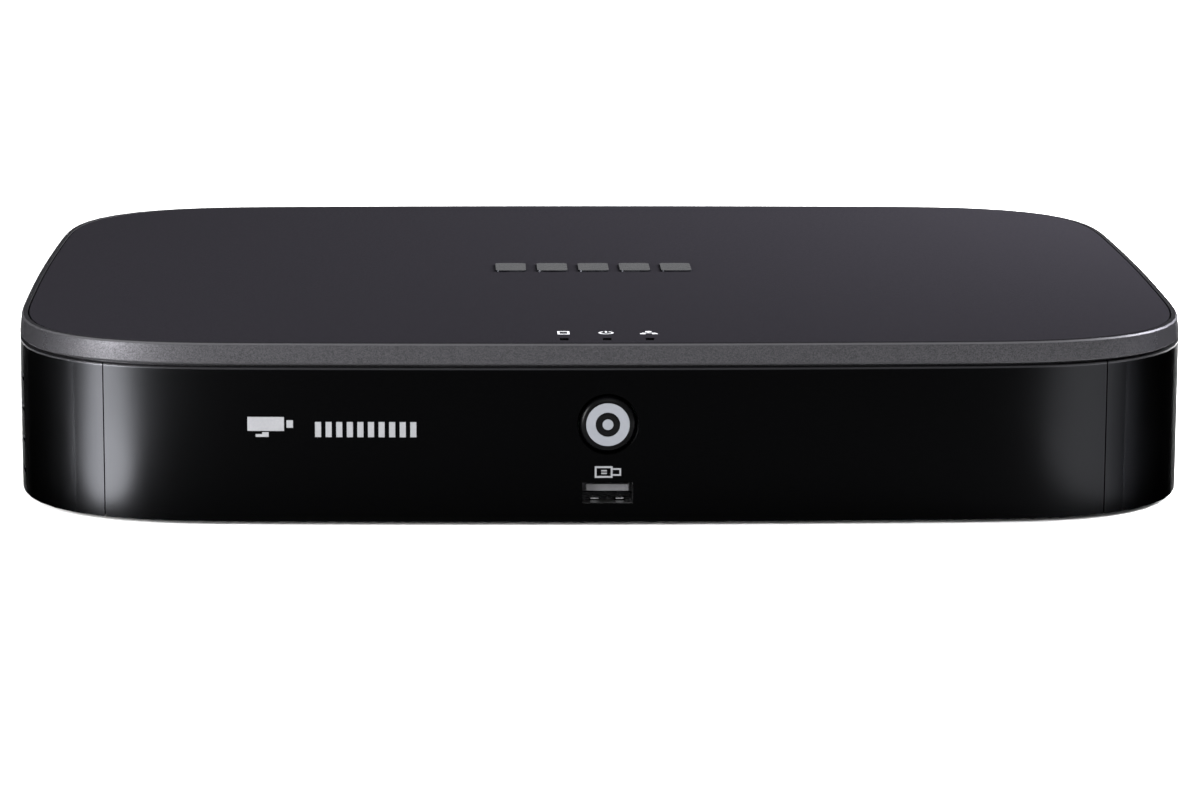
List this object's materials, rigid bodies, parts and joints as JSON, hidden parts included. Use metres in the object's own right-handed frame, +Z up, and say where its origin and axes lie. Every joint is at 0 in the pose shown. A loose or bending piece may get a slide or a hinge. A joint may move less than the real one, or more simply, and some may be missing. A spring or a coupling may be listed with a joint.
{
  "type": "dvr recorder",
  "caption": "Low rounded-square video recorder with a bevelled metallic lid rim, inlaid matte top, round front button, USB socket, rear video and network sockets and a hard drive inside.",
  "frame": {"origin": "centre of the recorder's footprint box, on the surface its feet stand on", "axes": "+X to the right seen from the front, the front faces -Y, +Z up"},
  "size_m": [0.3, 0.2424, 0.0459],
  "materials": {
    "case_black": "fine matte",
    "face_black": "satin gloss",
    "panel_black": "powder coat",
    "lid_grey": "metallic grey with fine sparkle",
    "plate_charcoal": "soft matte",
    "dark_chrome": "dark chrome",
    "print_white": "printed",
    "smoked_clear": "smoked clear plastic",
    "rubber_black": "matte",
    "screw_black": "black oxide",
    "screw_zinc": "zinc",
    "board_green": "solder mask",
    "part_black": "moulded",
    "part_ivory": "moulded",
    "button_black": "satin gloss",
    "button_grey": "satin",
    "lamp_clear": "clear lens",
    "port_nickel": "nickel",
    "port_white": "moulded",
    "contact_gold": "gold plate",
    "vga_blue": "moulded",
    "capacitor_can": "plain can with a dark sleeve",
    "sink_grey": "anodised",
    "drive_metal": "die cast",
    "drive_bright": "brushed",
    "disc_mirror": "mirror",
    "cable_grey": "flexible",
    "cable_black": "flexible",
    "cable_red": "flexible"
  },
  "bodies": {
    "recorder": {"lower_case": "case_black", "front_panel": "face_black", "rear_panel": "panel_black", "lid_frame": "lid_grey", "top_plate": "plate_charcoal", "top_badge": "dark_chrome", "status_icons": "print_white", "front_print": "print_white", "light_pipes": "smoked_clear", "rubber_feet": "rubber_black", "case_screws": "screw_black", "board_screws": "screw_zinc", "drive_screws": "screw_zinc", "fan_screws": "screw_black", "front_board": "board_green", "switch_body": "part_black", "front_leds": "lamp_clear", "front_usb_shell": "port_nickel", "front_usb_tongue": "part_black", "front_cable": "cable_grey", "main_board": "board_green", "board_chips": "part_black", "board_capacitors": "capacitor_can", "board_headers": "part_ivory", "heat_sink": "sink_grey", "coin_cell": "port_nickel", "cell_holder": "part_black", "bnc_housings": "part_black", "bnc_barrels": "port_nickel", "bnc_insulators": "port_white", "bnc_contacts": "contact_gold", "rca_housing": "part_black", "rca_barrels": "port_nickel", "rca_insulators": "part_ivory", "vga_shell": "port_nickel", "vga_insulator": "vga_blue", "vga_jackscrews": "port_nickel", "hdmi_shell": "port_nickel", "hdmi_tongue": "part_black", "lan_shell": "port_nickel", "lan_insert": "part_black", "rear_usb_shell": "port_nickel", "rear_usb_tongue": "part_black", "dc_jack": "part_black", "dc_pin": "port_nickel", "ground_screw": "screw_zinc", "drive_casting": "drive_metal", "drive_cover": "drive_bright", "drive_magnets": "drive_bright", "drive_board": "board_green", "fan_frame": "part_black", "fan_cable": "cable_black", "sata_data_cable": "cable_red", "sata_power_cable": "cable_black"},
    "button": {"button_cap": "button_black", "button_ring": "button_grey"},
    "plunger": {"switch_plunger": "part_ivory"},
    "fan_wheel": {"fan_rotor": "part_black"},
    "disc": {"drive_platters": "disc_mirror"},
    "head_arm": {"drive_actuator": "drive_bright"}
  },
  "joints": [
    {"name": "button_press", "type": "slide", "parent": "recorder", "child": "button", "axis": [0, 1, 0], "range_m": [0, 0.0006], "stiffness_N_per_m": 1500, "springref_m": -0.0006},
    {"name": "plunger_press", "type": "slide", "parent": "recorder", "child": "plunger", "axis": [0, 1, 0], "range_m": [0, 0.0006]},
    {"name": "fan_spin", "type": "hinge", "parent": "recorder", "child": "fan_wheel", "pos_m": [-0.138, -0.0418, 0.0207], "axis": [1, 0, 0], "continuous": true},
    {"name": "disc_spin", "type": "hinge", "parent": "recorder", "child": "disc", "pos_m": [-0.0242, -0.0435, 0.02], "axis": [0, 0, 1], "continuous": true},
    {"name": "arm_swing", "type": "hinge", "parent": "recorder", "child": "head_arm", "pos_m": [0.0333, -0.0313, 0.02], "axis": [0, 0, -1], "range_deg": [0, 30]}
  ],
  "couplings": [
    {"joint": "plunger_press", "follows": "button_press", "ratio": 1}
  ]
}
